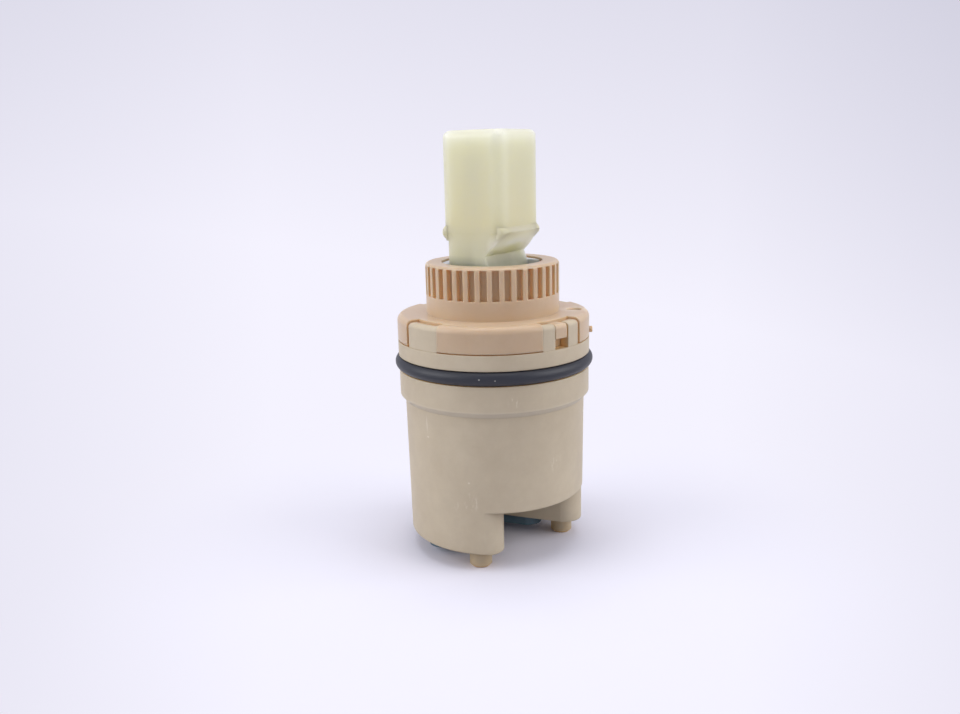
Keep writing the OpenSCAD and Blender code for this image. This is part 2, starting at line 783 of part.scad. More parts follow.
module lever() color([0.86, 0.85, 0.7]) turned()
    difference() {
        union() {
            soft_block(stem_size, bead_mid_z, stem_z, stem_corner_r, 0, stem_edge_r);
            bead_bar();
            translate([0, 0, pivot_z])
                linear_extrude(bead_mid_z - pivot_z + eps)
                    round_rectangle(neck_size, stem_corner_r);
            translate([0, 0, pivot_z])
                rotate([0, 90, 0])
                    cylinder(r = hub_r, h = neck_size[0], center = true);
            cylinder_between(arm_r, ball_z, pivot_z);
            translate([0, 0, ball_z])
                sphere(ball_r);
        }
        vee_notch();
        translate([0, 0, pivot_z])
            rotate([0, 90, 0])
                cylinder(r = lever_bore_r, h = far, center = true);
    }

// Half-round beads at the front and the back of the stem, as one bar through it with faded ends
module bead_bar() {
    intersection() {
        translate([0, 0, bead_z])
            linear_extrude(bead_h)
                round_rectangle(bead_size, bead_corner_r);
        rotate([90, 0, 90])
            linear_extrude(stem_w, center = true)
                block_profile(bead_size[1], bead_z, bead_top_z, bead_edge_r, bead_edge_r);
    }
}

// V notch across the front of the lever, which clears the collar when the lever tilts
module vee_notch() {
    out = stem_w;
    low = vee_z - pivot_z;
    rotate([90, 0, 90])
        linear_extrude(2 * stem_w, center = true)
            polygon([
                [-vee_depth, vee_z],
                [-vee_depth - out, vee_z + out * tan(vee_upper_angle)],
                [-vee_depth - out, pivot_z],
                [-vee_depth - low * tan(vee_lower_angle), pivot_z]
            ]);
}

module disc_driver() color([0.82, 0.83, 0.82]) carried() {
    difference() {
        union() {
            cylinder_between(driver_plate_r, driver_z, driver_plate_z);
            translate([-driver_block_w / 2, shut_shift - driver_block_l / 2, driver_z + eps])
                cube([driver_block_w, driver_block_l, driver_plate_t + driver_block_h - eps]);
        }
        translate([0, shut_shift, 0])
            driver_socket();
        translate([0, 0, driver_z - eps])
            linear_extrude(mixing_seal_h + eps)
                mixing_outline(mixing_seal_r + seat_gap);
    }
    for (side = [0, 1])
        mirror([side, 0, 0])
            dog();
}

// Socket for the ball of the lever, with a flared mouth
module driver_socket() {
    top = driver_plate_z + driver_block_h;
    translate([0, 0, driver_plate_z + socket_floor_t])
        cylinder(r = socket_r, h = driver_block_h);
    translate([0, 0, top - ball_r / 2])
        cylinder(r1 = socket_r, r2 = socket_r + ball_r / 2 + eps, h = ball_r / 2 + eps);
}

// Dog at the side of the driver that turns and pushes the moving disc
module dog() {
    intersection() {
        translate([moving_disc_r - dog_t, -dog_w / 2, driver_z - dog_h])
            cube([2 * dog_t, dog_w, dog_h + eps]);
        cylinder_between(moving_disc_r, driver_z - dog_h, driver_z + eps);
    }
}

// Outline of the mixing opening with a given radius
module mixing_outline(r) {
    for (y = [-mixing_len, 0])
        translate([0, y])
            circle(r);
    translate([-r, -mixing_len])
        square([2 * r, mixing_len]);
}

module mixing_seal() color([0.2, 0.42, 0.62]) carried()
    translate([0, 0, driver_z])
        linear_extrude(mixing_seal_h)
            difference() {
                mixing_outline(mixing_seal_r);
                mixing_outline(mixing_seal_r - disc_seal_band);
            }

module moving_disc() color([0.95, 0.94, 0.9]) carried()
    difference() {
        cylinder_between(moving_disc_r, moving_disc_z, driver_z);
        translate([0, 0, moving_disc_z - eps])
            linear_extrude(moving_disc_t + 2 * eps)
                mixing_outline(mixing_r);
        for (side = [-1, 1])
            translate([side * moving_disc_r, 0, driver_z])
                cube([2 * (dog_t + slide_gap), dog_w + 2 * slide_gap, 2 * (dog_h + slide_gap)], center = true);
    }

housing();
cap();
body_o_ring();
hot_inlet_seal();
cold_inlet_seal();
hot_disc_seal();
cold_disc_seal();
outlet_disc_seal();
fixed_disc();
glide_ring();
rotor();
lever_pin();
lever();
disc_driver();
mixing_seal();
moving_disc();
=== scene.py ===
"""Looks of a single-lever mixer cartridge with ceramic discs: its plastics, rubber, ceramic and steel."""

import math

import bmesh
import bpy
from mathutils import Matrix, Vector


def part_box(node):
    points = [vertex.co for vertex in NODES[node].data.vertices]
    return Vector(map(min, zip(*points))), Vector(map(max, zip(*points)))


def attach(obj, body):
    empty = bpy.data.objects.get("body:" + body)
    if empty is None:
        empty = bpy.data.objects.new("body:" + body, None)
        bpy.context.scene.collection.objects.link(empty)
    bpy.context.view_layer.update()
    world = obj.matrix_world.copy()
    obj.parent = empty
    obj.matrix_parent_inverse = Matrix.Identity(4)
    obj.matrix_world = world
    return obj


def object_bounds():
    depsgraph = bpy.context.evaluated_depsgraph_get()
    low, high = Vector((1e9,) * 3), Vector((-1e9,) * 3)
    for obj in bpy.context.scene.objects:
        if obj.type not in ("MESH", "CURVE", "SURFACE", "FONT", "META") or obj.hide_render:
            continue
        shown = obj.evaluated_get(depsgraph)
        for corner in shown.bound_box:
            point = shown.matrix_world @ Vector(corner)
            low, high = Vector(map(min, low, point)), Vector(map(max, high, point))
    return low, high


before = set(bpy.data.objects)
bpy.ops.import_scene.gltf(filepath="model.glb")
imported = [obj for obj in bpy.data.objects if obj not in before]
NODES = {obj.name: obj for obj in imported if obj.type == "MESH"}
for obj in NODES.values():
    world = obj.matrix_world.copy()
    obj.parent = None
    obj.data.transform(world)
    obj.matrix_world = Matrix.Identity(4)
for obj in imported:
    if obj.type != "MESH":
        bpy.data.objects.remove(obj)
cad_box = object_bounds()

MM = 0.001

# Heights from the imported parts
FLOOR_Z = cad_box[0][2]
MIDDLE_Z = (cad_box[0][2] + cad_box[1][2]) / 2
NECK_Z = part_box("cap")[1][2]         # top of the collar, where the lever's neck comes out
LEVER_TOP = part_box("lever")[1][2]

# View of the photograph, in the object's frame
VIEW_TURN = math.radians(-42.5)      # the camera stands to the left of the outlet
VIEW_DISTANCE = 109.62 * MM          # from the axis, level
VIEW_HEIGHT = 50.17 * MM             # above the floor
VIEW_PITCH = math.radians(13.053)    # looking down
VIEW_YAW = math.radians(-0.940)      # looking a little to the left
VIEW_ROLL = math.radians(-1.385)     # right side of the camera lower
IMAGE_WIDTH = 960
FOCAL_PIXELS = 870.6
SENSOR_WIDTH = 36.0
CLIP_START = 5 * MM
VIEW_AXES = Matrix.Rotation(VIEW_TURN, 3, "Z")
EYE = VIEW_AXES @ Vector((0, -VIEW_DISTANCE, VIEW_HEIGHT)) + Vector((0, 0, FLOOR_Z))
RIGHT = VIEW_AXES @ Vector((1, 0, 0))

# Floor, in metres
FLOOR_RADIUS = 3
FLOOR_SIDES = 96
FADE_FROM = 0.01                     # from here to FADE_TO, away from the axis, it turns into the backdrop
FADE_TO = 0.06

# Lever, its beads and its V notch, in millimetres, after the part's source
LEVER_TURN = math.radians(13.5)      # at rest, from the outlet
LEVER_AXES = Matrix.Rotation(LEVER_TURN, 3, "Z")
STEM_HALF = 4.5
STEM_CORNER = 1.5                    # radius
BEAD_Z = 40.95                       # middle
BEAD_R = 0.98                        # a little less than the solid's 0.99
BEAD_PROUD = 0.4
BEAD_HALF = 0.79                     # half the height of a bead where it meets the stem
VEE_Z = 38.25                        # bottom of the notch
VEE_DEPTH = 2.0                      # from the axis to that bottom

# Ends of the beads, in millimetres and degrees round the corner of the stem
END_ANGLES = range(25, 91, 5)
FADE_ANGLE = 27                      # where a bead comes out of the stem
FADE_SPAN = 18                       # over which it grows to its full height
RUN_IN = [(0.4, 1), (1.0, 0.85)]     # ways on into the solid's bead, and parts of the full height there
BEAD_STEPS = 8
BEAD_FOOT = 0.5                      # how deep its foot is sunk in the stem
VEE_GAP = 0.04                       # keeps the ends off the face of the notch
SHARP_ANGLE = math.radians(40)

# Places on the surfaces, each with its middle and its half sizes in millimetres.
# Patches of the housing that are rubbed
SCUFFS = [((-6.4, -10.3, 22.0), (0.9, 0.9, 0.9)),
          ((-9.7, -6.0, 9.2), (1.2, 1.2, 1.4)),
          ((-10.5, -4.4, 8.4), (0.7, 0.7, 0.8)),
          ((-0.7, -11.4, 13.5), (1.2, 1.2, 1.4)),
          ((7.5, 8.6, 12.0), (1.4, 1.4, 1.6)),
          ((10.9, -3.0, 17.0), (1.2, 1.2, 1.8))]
# Pale moulding marks of the housing: a line, the dot under it and a speck; and painted light on the
# sloping step all round, which faces down
MARKS_AND_STEP_LIGHT = [((-11.5, -0.2, 18.3), (0.3, 0.11, 1.3)),
         ((-11.5, -0.3, 16.7), (0.3, 0.24, 0.16)),
         ((-9.8, -5.8, 11.7), (0.2, 0.2, 0.16)),
         ((0, 0, 20.4), (18, 18, 0.7))]
# Painted light on the flange of the cap, round the ejector mark, that lifts the shade in its recess
EJECTOR_MARK_LIGHT = [((7.1, -7.4, 30.7), (2.2, 2.2, 0.9))]
MARK_STRENGTH = 0.55                 # how far a mark, a scratch or painted light covers the colour under it
# Specks of dust on the O-ring
DUST = [((-9.74, -8.0, 24.93), (0.14, 0.14, 0.09)),
        ((-8.46, -9.34, 24.8), (0.13, 0.13, 0.09)),
        ((-1.15, -12.4, 25.6), (0.2, 0.2, 0.1)),
        ((9.6, 8.2, 25.0), (0.14, 0.14, 0.1)),
        ((-4.2, 11.9, 25.3), (0.13, 0.13, 0.09))]
# Painted light through the thin lip over the V notch, and painted olive shade on the notch's face, in the
# lever's own axes
NOTCH_LIP = ((0, -3.6, 39.6), (6.5, 2.0, 1.9))
NOTCH_SHADE = ((0.6, -3.2, 38.8), (2.6, 1.6, 0.9))
NOTCH_SHADE_STRENGTH = 0.4

# Sockets of a Mix node for colours, by number because their names occur more than once
BLEND = 0
UNDER = 6
OVER = 7
MIXED = 2


def linear(hex_colour):
    """An sRGB hex colour, such as C8B49A, as linear RGBA."""
    channels = [int(hex_colour[i:i + 2], 16) / 255 for i in (0, 2, 4)]
    flat = [c / 12.92 if c <= 0.04045 else ((c + 0.055) / 1.055) ** 2.4 for c in channels]
    return (*flat, 1.0)


def put(tree, kind, inputs=None, **settings):
    """Adds a node with its settings. An input takes a plain value, or the output that is linked to it."""
    node = tree.nodes.new(kind)
    for name, value in settings.items():
        setattr(node, name, value)
    for key, value in (inputs or {}).items():
        if isinstance(value, bpy.types.NodeSocket):
            tree.links.new(value, node.inputs[key])
        else:
            node.inputs[key].default_value = value
    return node


def new_material(name):
    """An empty node material and its tree."""
    material = bpy.data.materials.new(name)
    material.use_nodes = True
    material.node_tree.nodes.clear()
    return material, material.node_tree


def per_mm(size_mm):
    """Texture scale that gives features of a real size in millimetres."""
    return 1 / (size_mm * MM)


def blot(tree, at, middle_mm, half_mm, turn=0.0):
    """1 in the middle of an ellipsoid, and 0 from its edge on."""
    spot = put(tree, "ShaderNodeMapping",
               {"Vector": at, "Location": Vector(middle_mm) * MM, "Rotation": (0, 0, turn),
                "Scale": Vector(half_mm) * MM}, vector_type="TEXTURE")
    ball = put(tree, "ShaderNodeVectorMath", {0: spot.outputs["Vector"]}, operation="LENGTH")
    soft = put(tree, "ShaderNodeMapRange",
               {"Value": ball.outputs["Value"], "From Min": 0.2, "From Max": 1.0,
                "To Min": 1.0, "To Max": 0.0})
    return soft.outputs["Result"]


def blots(tree, at, places):
    """The strongest of several blots."""
    most = 0.0
    for middle, half in places:
        stronger = put(tree, "ShaderNodeMath", {0: most, 1: blot(tree, at, middle, half)},
                       operation="MAXIMUM")
        most = stronger.outputs["Value"]
    return most


def lever_blot(tree, at, place):
    """A blot whose place is in the lever's own axes."""
    middle, half = place
    return blot(tree, at, LEVER_AXES @ Vector(middle), half, LEVER_TURN)


def painted_gap_shade(tree, base, gap_shade, glow, reach_mm):
    """The base colour, with painted shade in gaps and corners, and painted warm light in the narrowest
    gaps.
    """
    open_sky = put(tree, "ShaderNodeAmbientOcclusion", {"Distance": reach_mm * MM}, samples=8)
    gap = put(tree, "ShaderNodeMapRange",
              {"Value": open_sky.outputs["AO"], "From Min": 0.2, "From Max": 0.95})
    dim = put(tree, "ShaderNodeMix", {BLEND: gap.outputs["Result"], UNDER: linear(gap_shade), OVER: base},
              data_type="RGBA")
    # Painted light: the narrowest gaps take a warm colour, for the light that the plastic lets through
    deep = put(tree, "ShaderNodeMapRange", {"Value": open_sky.outputs["AO"], "From Max": 0.5})
    gap_shaded = put(tree, "ShaderNodeMix",
               {BLEND: deep.outputs["Result"], UNDER: linear(glow), OVER: dim.outputs[MIXED]},
               data_type="RGBA")
    return gap_shaded.outputs[MIXED]


def pale_wear_and_light(tree, at, colour, scuffs, marks_and_light):
    """The colour with pale upright scratches in the rubbed patches, and with whole pale marks and patches
    of painted light.
    """
    # A pattern of 0.35 mm across, drawn out to 1.2 mm along the axis
    stretched = put(tree, "ShaderNodeMapping", {"Vector": at, "Scale": (1.0, 1.0, 0.3)})
    scratch = put(tree, "ShaderNodeTexNoise",
                  {"Vector": stretched.outputs["Vector"], "Scale": per_mm(0.35),
                   "Detail": 3.0, "Roughness": 0.6})
    in_scratch = put(tree, "ShaderNodeMapRange",
                     {"Value": scratch.outputs["Fac"], "From Min": 0.52, "From Max": 0.66})
    rubbed = put(tree, "ShaderNodeMath", {0: in_scratch.outputs["Result"], 1: blots(tree, at, scuffs)},
                 operation="MULTIPLY")
    # Whole pale marks, and patches of painted light on faces that get too little light
    pale = put(tree, "ShaderNodeMath", {0: rubbed.outputs["Value"], 1: blots(tree, at, marks_and_light)},
               operation="MAXIMUM")
    part = put(tree, "ShaderNodeMath", {0: pale.outputs["Value"], 1: MARK_STRENGTH}, operation="MULTIPLY")
    worn = put(tree, "ShaderNodeMix",
               {BLEND: part.outputs["Value"], UNDER: colour, OVER: linear("EFE8DC")}, data_type="RGBA")
    return worn.outputs[MIXED]


def moulded_plastic(name, face, shade, gap_shade, glow, reach_mm, edge_mm, roughness, clear,
                    scuffs=(), marks_and_light=()):
    """Matt moulded plastic: an even colour with faint flow clouds, soft edges and painted shade in its
    gaps.

    The colours are those of the face and its clouds, of the painted shade in a gap, and of the painted
    light in the narrowest gaps. The painted shade darkens over reach_mm, and edges are rounded by edge_mm.
    The part of the light that goes into the plastic is clear.
    """
    material, tree = new_material(name)
    at = put(tree, "ShaderNodeTexCoord").outputs["Object"]
    # Faint clouds where the melt flowed, about 7 mm across
    flow = put(tree, "ShaderNodeTexNoise",
               {"Vector": at, "Scale": per_mm(7), "Detail": 6.0, "Roughness": 0.68})
    clouds = put(tree, "ShaderNodeMapRange",
                 {"Value": flow.outputs["Fac"], "From Min": 0.35, "From Max": 0.65})
    base = put(tree, "ShaderNodeMix",
               {BLEND: clouds.outputs["Result"], UNDER: linear(shade), OVER: linear(face)},
               data_type="RGBA")
    # Painted shade in gaps and corners, and painted warm light in the narrowest gaps
    gap_shaded = painted_gap_shade(tree, base.outputs[MIXED], gap_shade, glow, reach_mm)
    colour = pale_wear_and_light(tree, at, gap_shaded, scuffs, marks_and_light)
    # Spark-eroded mould grain, drawn at 0.25 mm because the real 0.05 mm is too fine to show
    grain = put(tree, "ShaderNodeTexNoise", {"Vector": at, "Scale": per_mm(0.25), "Detail": 2.0})
    soft_edge = put(tree, "ShaderNodeBevel", {"Radius": edge_mm * MM}, samples=6)
    bump = put(tree, "ShaderNodeBump",
               {"Height": grain.outputs["Fac"], "Strength": 0.12, "Distance": 0.03 * MM,
                "Normal": soft_edge.outputs["Normal"]})
    sheen = put(tree, "ShaderNodeMapRange",
                {"Value": flow.outputs["Fac"], "To Min": roughness - 0.05, "To Max": roughness + 0.08})
    shader = put(tree, "ShaderNodeBsdfPrincipled",
                 {"Base Color": colour, "Roughness": sheen.outputs["Result"], "IOR": 1.48,
                  "Specular IOR Level": 0.4, "Subsurface Weight": clear,
                  "Subsurface Radius": (1.0, 0.85, 0.6), "Subsurface Scale": 0.7 * MM,
                  "Normal": bump.outputs["Normal"]})
    put(tree, "ShaderNodeOutputMaterial", {"Surface": shader.outputs["BSDF"]})
    return material


def nylon_body(tree, at, edge_light_part):
    """Colour of the nylon, with painted shade lower down and painted light at its thin edges."""
    # Painted shade: darker towards the neck, as less light gets down into the collar
    height = put(tree, "ShaderNodeSeparateXYZ", {"Vector": at})
    up = put(tree, "ShaderNodeMapRange",
             {"Value": height.outputs["Z"], "From Min": NECK_Z, "From Max": LEVER_TOP})
    height_shade = put(tree, "ShaderNodeValToRGB", {"Fac": up.outputs["Result"]})
    height_shade.color_ramp.elements[0].color = linear("A2A187")
    height_shade.color_ramp.elements[1].color = linear("D8D6BC")
    height_shade.color_ramp.elements.new(0.06).color = linear("C8C5A8")
    height_shade.color_ramp.elements.new(0.14).color = linear("D0CCB0")
    height_shade.color_ramp.elements.new(0.3).color = linear("DBD4B0")
    # How near the edge of the solid a point lies
    depth = put(tree, "ShaderNodeAmbientOcclusion", {"Distance": 2.4 * MM}, samples=12, inside=True)
    thin = put(tree, "ShaderNodeMapRange",
               {"Value": depth.outputs["AO"], "From Min": 0.5, "From Max": 0.95,
                "To Min": edge_light_part, "To Max": 0.0})
    # Painted light at the thin edges, on the stem only: near the beads and the V notch the edges stay as
    # they are
    stem = put(tree, "ShaderNodeMapRange",
               {"Value": up.outputs["Result"], "From Min": 0.28, "From Max": 0.45})
    clear = put(tree, "ShaderNodeMath", {0: thin.outputs["Result"], 1: stem.outputs["Result"]},
                operation="MULTIPLY")
    tone = put(tree, "ShaderNodeMix",
               {BLEND: clear.outputs["Value"], UNDER: height_shade.outputs["Color"], OVER: linear("E8E8D6")},
               data_type="RGBA")
    return tone.outputs[MIXED]


def natural_nylon(name, depth_mm, edge_light_part):
    """Natural nylon, moulded thick: cloudy and cream-green, with painted light at its thin edges.

    Light goes depth_mm into it, and edge_light_part is how far the painted light turns the edges pale.
    """
    material, tree = new_material(name)
    at = put(tree, "ShaderNodeTexCoord").outputs["Object"]
    body = nylon_body(tree, at, edge_light_part)
    # Cloudy streaks along the stem, 3 mm wide
    along = put(tree, "ShaderNodeMapping", {"Vector": at, "Scale": (1.0, 1.0, 0.2)})
    cloud = put(tree, "ShaderNodeTexNoise",
                {"Vector": along.outputs["Vector"], "Scale": per_mm(3), "Detail": 3.0})
    cloudy = put(tree, "ShaderNodeMapRange",
                 {"Value": cloud.outputs["Fac"], "From Min": 0.4, "From Max": 0.7, "To Max": 0.35})
    streaked = put(tree, "ShaderNodeMix",
                   {BLEND: cloudy.outputs["Result"], UNDER: body, OVER: linear("D2D0B8")},
                   data_type="RGBA")
    # Painted light that comes through the thin lip of the V notch, and painted olive shade on the notch's
    # face
    lit = put(tree, "ShaderNodeMix",
              {BLEND: lever_blot(tree, at, NOTCH_LIP), UNDER: streaked.outputs[MIXED],
               OVER: linear("FFFCEA")}, data_type="RGBA")
    olive_shade = put(tree, "ShaderNodeMath", {0: lever_blot(tree, at, NOTCH_SHADE), 1: NOTCH_SHADE_STRENGTH},
               operation="MULTIPLY")
    shaded = put(tree, "ShaderNodeMix",
                  {BLEND: olive_shade.outputs["Value"], UNDER: lit.outputs[MIXED], OVER: linear("C2C07C")},
                  data_type="RGBA")
    ripple = put(tree, "ShaderNodeTexNoise", {"Vector": at, "Scale": per_mm(0.8), "Detail": 2.0})
    soft_edge = put(tree, "ShaderNodeBevel", {"Radius": 0.2 * MM}, samples=6)
    bump = put(tree, "ShaderNodeBump",
               {"Height": ripple.outputs["Fac"], "Strength": 0.1, "Distance": 0.05 * MM,
                "Normal": soft_edge.outputs["Normal"]})
    shader = put(tree, "ShaderNodeBsdfPrincipled",
                 {"Base Color": shaded.outputs[MIXED], "Roughness": 0.42, "IOR": 1.53,
                  "Specular IOR Level": 0.4, "Subsurface Weight": 1.0,
                  "Subsurface Radius": (1.0, 1.0, 0.8), "Subsurface Scale": depth_mm * MM,
                  "Normal": bump.outputs["Normal"]})
    put(tree, "ShaderNodeOutputMaterial", {"Surface": shader.outputs["BSDF"]})
    return material


def nitrile_rubber(name):
    """Black nitrile rubber from a polished mould: dark blue-grey, with a soft sheen and specks of dust."""
    material, tree = new_material(name)
    at = put(tree, "ShaderNodeTexCoord").outputs["Object"]
    bloom = put(tree, "ShaderNodeTexNoise", {"Vector": at, "Scale": per_mm(2.5), "Detail": 3.0})
    tone = put(tree, "ShaderNodeMix",
               {BLEND: bloom.outputs["Fac"], UNDER: linear("141721"), OVER: linear("1E222D")},
               data_type="RGBA")
    colour = put(tree, "ShaderNodeMix",
                 {BLEND: blots(tree, at, DUST), UNDER: tone.outputs[MIXED], OVER: linear("C8C6BE")},
                 data_type="RGBA")
    skin = put(tree, "ShaderNodeTexNoise", {"Vector": at, "Scale": per_mm(0.3), "Detail": 2.0})
    bump = put(tree, "ShaderNodeBump",
               {"Height": skin.outputs["Fac"], "Strength": 0.15, "Distance": 0.03 * MM})
    sheen = put(tree, "ShaderNodeMapRange",
                {"Value": bloom.outputs["Fac"], "To Min": 0.4, "To Max": 0.55})
    shader = put(tree, "ShaderNodeBsdfPrincipled",
                 {"Base Color": colour.outputs[MIXED], "Roughness": sheen.outputs["Result"], "IOR": 1.52,
                  "Sheen Weight": 0.08, "Sheen Roughness": 0.4, "Normal": bump.outputs["Normal"]})
    put(tree, "ShaderNodeOutputMaterial", {"Surface": shader.outputs["BSDF"]})
    return material


def silicone_rubber(name):
    """Slate-blue silicone rubber from a matt mould: slightly see-through at its edges, with a bloom."""
    material, tree = new_material(name)
    at = put(tree, "ShaderNodeTexCoord").outputs["Object"]
    bloom = put(tree, "ShaderNodeTexNoise", {"Vector": at, "Scale": per_mm(1.5), "Detail": 4.0})
    tone = put(tree, "ShaderNodeMix",
               {BLEND: bloom.outputs["Fac"], UNDER: linear("4C6472"), OVER: linear("627A86")},
               data_type="RGBA")
    skin = put(tree, "ShaderNodeTexNoise", {"Vector": at, "Scale": per_mm(0.2), "Detail": 2.0})
    soft_edge = put(tree, "ShaderNodeBevel", {"Radius": 0.15 * MM}, samples=6)
    bump = put(tree, "ShaderNodeBump",
               {"Height": skin.outputs["Fac"], "Strength": 0.15, "Distance": 0.02 * MM,
                "Normal": soft_edge.outputs["Normal"]})
    shader = put(tree, "ShaderNodeBsdfPrincipled",
                 {"Base Color": tone.outputs[MIXED], "Roughness": 0.5, "IOR": 1.41,
                  "Subsurface Weight": 0.4, "Subsurface Radius": (0.4, 0.8, 1.0),
                  "Subsurface Scale": 0.5 * MM, "Normal": bump.outputs["Normal"]})
    put(tree, "ShaderNodeOutputMaterial", {"Surface": shader.outputs["BSDF"]})
    return material


def alumina_ceramic(name):
    """Lapped alumina ceramic: warm white, dense and mirror-flat, with faint lapping arcs."""
    material, tree = new_material(name)
    at = put(tree, "ShaderNodeTexCoord").outputs["Object"]
    body = put(tree, "ShaderNodeTexNoise",
               {"Vector": at, "Scale": per_mm(0.6), "Detail": 5.0, "Roughness": 0.7})
    tone = put(tree, "ShaderNodeMix",
               {BLEND: body.outputs["Fac"], UNDER: linear("E6E2D8"), OVER: linear("F4F2EA")},
               data_type="RGBA")
    arcs = put(tree, "ShaderNodeTexWave", {"Vector": at, "Scale": per_mm(1.2), "Distortion": 2.0},
               wave_type="RINGS")
    lapped = put(tree, "ShaderNodeMapRange",
                 {"Value": arcs.outputs["Fac"], "To Min": 0.1, "To Max": 0.2})
    soft_edge = put(tree, "ShaderNodeBevel", {"Radius": 0.1 * MM}, samples=6)
    shader = put(tree, "ShaderNodeBsdfPrincipled",
                 {"Base Color": tone.outputs[MIXED], "Roughness": lapped.outputs["Result"], "IOR": 1.76,
                  "Subsurface Weight": 0.2, "Subsurface Radius": (1.0, 0.9, 0.8),
                  "Subsurface Scale": 0.4 * MM, "Normal": soft_edge.outputs["Normal"]})
    put(tree, "ShaderNodeOutputMaterial", {"Surface": shader.outputs["BSDF"]})
    return material


def stainless_steel(name):
    """Ground stainless steel wire: bright grey with fine lines round the pin."""
    material, tree = new_material(name)
    at = put(tree, "ShaderNodeTexCoord").outputs["Object"]
    # Lines 0.1 mm apart along the pin, which lies across the lever
    along = put(tree, "ShaderNodeMapping",
                {"Vector": at, "Rotation": (0, 0, -LEVER_TURN), "Scale": (1.0, 0.05, 0.05)})
    lines = put(tree, "ShaderNodeTexNoise",
                {"Vector": along.outputs["Vector"], "Scale": per_mm(0.1), "Detail": 3.0})
    ground = put(tree, "ShaderNodeMapRange",
                 {"Value": lines.outputs["Fac"], "To Min": 0.18, "To Max": 0.36})
    tone = put(tree, "ShaderNodeMix",
               {BLEND: lines.outputs["Fac"], UNDER: linear("B8BABD"), OVER: linear("D2D4D6")},
               data_type="RGBA")
    bump = put(tree, "ShaderNodeBump",
               {"Height": lines.outputs["Fac"], "Strength": 0.2, "Distance": 0.01 * MM})
    shader = put(tree, "ShaderNodeBsdfPrincipled",
                 {"Base Color": tone.outputs[MIXED], "Metallic": 1.0,
                  "Roughness": ground.outputs["Result"], "Normal": bump.outputs["Normal"]})
    put(tree, "ShaderNodeOutputMaterial", {"Surface": shader.outputs["BSDF"]})
    return material


def dress(material, *names):
    """Gives one finish to CAD nodes."""
    for name in names:
        NODES[name].data.materials.clear()
        NODES[name].data.materials.append(material)


def dress_plastics():
    """Gives the moulded pieces and the glide ring their plastics."""
    # Satin beige, with painted brown shade in its gaps and near the floor
    dress(moulded_plastic("beige_moulded_acetal", face="CDBFA7", shade="C3B49C", gap_shade="A89270",
                          glow="F8CC8C", reach_mm=3.5, edge_mm=0.2, roughness=0.5, clear=0.2,
                          scuffs=SCUFFS, marks_and_light=MARKS_AND_STEP_LIGHT), "housing")
    # Smoother and clearer peach, with painted warm light and shade in its slots
    dress(moulded_plastic("peach_moulded_acetal", face="D0B89C", shade="C9B094", gap_shade="CDB08C",
                          glow="F6D4A4", reach_mm=1.6, edge_mm=0.2, roughness=0.32, clear=0.8,
                          marks_and_light=EJECTOR_MARK_LIGHT), "cap")
    # Cool white, with faint painted shade in its gaps
    dress(moulded_plastic("white_moulded_acetal", face="EEF1F6", shade="E8ECF2", gap_shade="DCE0EA",
                          glow="DCE0EA", reach_mm=1.2, edge_mm=0.12, roughness=0.4, clear=0.2), "rotor")
    # Light grey, with painted shade in its gaps
    dress(moulded_plastic("grey_moulded_acetal", face="D3D5D2", shade="CACCC9", gap_shade="96948C",
                          glow="96948C", reach_mm=1.2, edge_mm=0.12, roughness=0.45, clear=0.2),
          "disc_driver")
    # Waxy white, turned from bar, but with the same soft look and painted shade in its gaps
    dress(moulded_plastic("white_turned_fluoropolymer", face="F2F2EE", shade="ECECE8", gap_shade="C6C6C0",
                          glow="C6C6C0", reach_mm=1.2, edge_mm=0.12, roughness=0.35, clear=0.2),
          "glide_ring")
    dress(natural_nylon("natural_moulded_nylon", depth_mm=8.0, edge_light_part=0.7), "lever")


def dress_seals_discs_and_pin():
    """Gives the seals, the discs and the pin their rubber, ceramic and steel."""
    dress(nitrile_rubber("black_moulded_nitrile_rubber"), "body_o_ring")
    dress(silicone_rubber("blue_moulded_silicone"), "hot_inlet_seal", "cold_inlet_seal",
          "hot_disc_seal", "cold_disc_seal", "outlet_disc_seal", "mixing_seal")
    dress(alumina_ceramic("lapped_alumina_ceramic"), "fixed_disc", "moving_disc")
    dress(stainless_steel("ground_stainless_steel"), "lever_pin")


def bead_outline(part):
    """Cross-section of a bead at a part of its full height, as rises up the stem and heights over it.

    The last two points are its foot, inside the stem.
    """
    rises = [BEAD_HALF * math.cos(math.pi * step / BEAD_STEPS) for step in range(BEAD_STEPS + 1)]
    crown = [(rise, part * (math.sqrt(BEAD_R ** 2 - rise ** 2) - BEAD_R + BEAD_PROUD)) for rise in rises]
    return crown + [(-BEAD_HALF, -BEAD_FOOT), (BEAD_HALF, -BEAD_FOOT)]


def make_bead_end(mesh, right, back):
    """One end of a bead, round the corner of the stem that the signs of right and back pick."""
    centre = STEM_HALF - STEM_CORNER
    rows = [(centre, angle, min(1, (angle - FADE_ANGLE) / FADE_SPAN)) for angle in END_ANGLES]
    rows += [(centre - run, END_ANGLES[-1], part) for run, part in RUN_IN]
    rings = []
    for middle, angle, part in rows:
        along = math.cos(math.radians(angle))
        out = math.sin(math.radians(angle))
        ring = []
        for rise, proud in bead_outline(part):
            x = middle + (STEM_CORNER + proud) * along
            y = centre + (STEM_CORNER + proud) * out
            z = BEAD_Z + rise
            # The upper face of the V notch, at 45 degrees, cuts the beads at the front
            if back < 0:
                z = max(z, VEE_Z + y - VEE_DEPTH + VEE_GAP)
            ring.append(mesh.verts.new(Vector((right * x, back * y, z)) * MM))
        rings.append(ring)
    for ring, following in zip(rings, rings[1:]):
        for i in range(len(ring)):
            j = (i + 1) % len(ring)
            mesh.faces.new((ring[i], ring[j], following[j], following[i]))
    mesh.faces.new(rings[0])
    mesh.faces.new(rings[-1])


